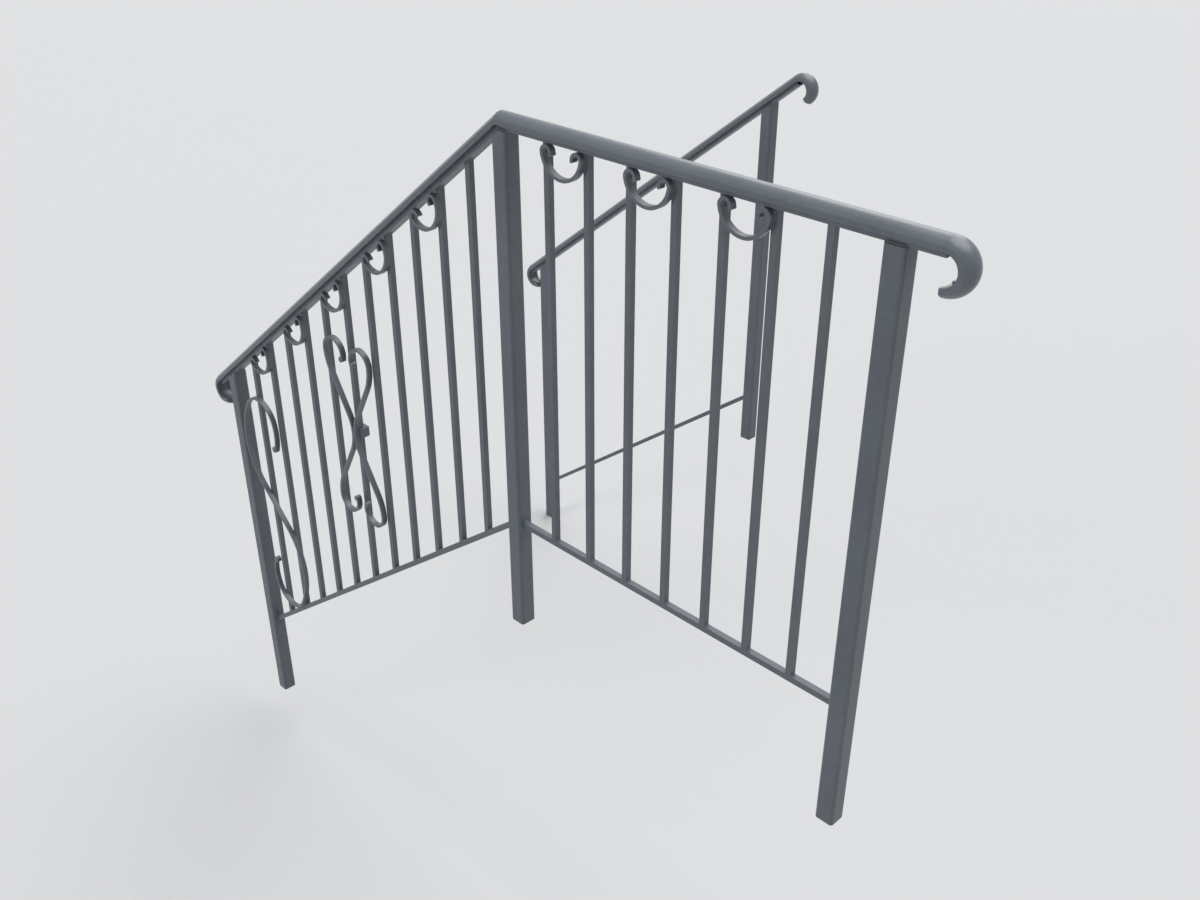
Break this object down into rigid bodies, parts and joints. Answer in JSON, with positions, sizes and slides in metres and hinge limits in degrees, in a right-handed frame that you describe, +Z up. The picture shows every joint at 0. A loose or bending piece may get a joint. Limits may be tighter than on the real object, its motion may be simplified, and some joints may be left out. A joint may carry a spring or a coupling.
{
  "type": "stair handrail",
  "caption": "Wrought iron handrail for a stair flight and its landing: square balusters, C and S scrolls, a crowned cap rail curled at its ends, and a plain matching rail opposite",
  "frame": {"origin": "centre of the foot of the newel post, the lowest post of the front rail", "axes": "+Z up, +X up the flight and along the landing, +Y across the flight towards the rear rail"},
  "size_m": [2.5115, 1.4668, 2.1601],
  "materials": {
    "bars": "satin steel-grey paint",
    "cap_rail": "satin steel-grey paint, rubbed smoother on top",
    "scrollwork": "satin steel-grey paint on forged bar"
  },
  "bodies": {
    "root": {"newel_post": "bars", "landing_post": "bars", "end_post": "bars", "stair_channel": "bars", "level_channel": "bars", "stair_bottom_rail": "bars", "level_bottom_rail": "bars", "collar": "bars", "rear_lower_post": "bars", "rear_upper_post": "bars", "rear_channel": "bars", "rear_bottom_rail": "bars", "stair_baluster_01": "bars", "stair_baluster_02": "bars", "stair_baluster_03": "bars", "stair_baluster_04": "bars", "stair_baluster_05": "bars", "stair_baluster_06": "bars", "stair_baluster_07": "bars", "stair_baluster_08": "bars", "stair_baluster_09": "bars", "stair_baluster_10": "bars", "stair_baluster_11": "bars", "level_baluster_01": "bars", "level_baluster_02": "bars", "level_baluster_03": "bars", "level_baluster_04": "bars", "level_baluster_05": "bars", "level_baluster_06": "bars", "level_baluster_07": "bars", "stair_cap": "cap_rail", "level_cap": "cap_rail", "stair_curl": "cap_rail", "level_curl": "cap_rail", "rear_cap": "cap_rail", "rear_lower_curl": "cap_rail", "rear_upper_curl": "cap_rail", "s_scroll": "scrollwork", "middle_scroll_left": "scrollwork", "middle_scroll_right": "scrollwork", "stair_c_scroll_1": "scrollwork", "stair_c_scroll_2": "scrollwork", "stair_c_scroll_3": "scrollwork", "stair_c_scroll_4": "scrollwork", "stair_c_scroll_5": "scrollwork", "level_c_scroll_1": "scrollwork", "level_c_scroll_2": "scrollwork", "level_c_scroll_3": "scrollwork"}
  },
  "joints": []
}
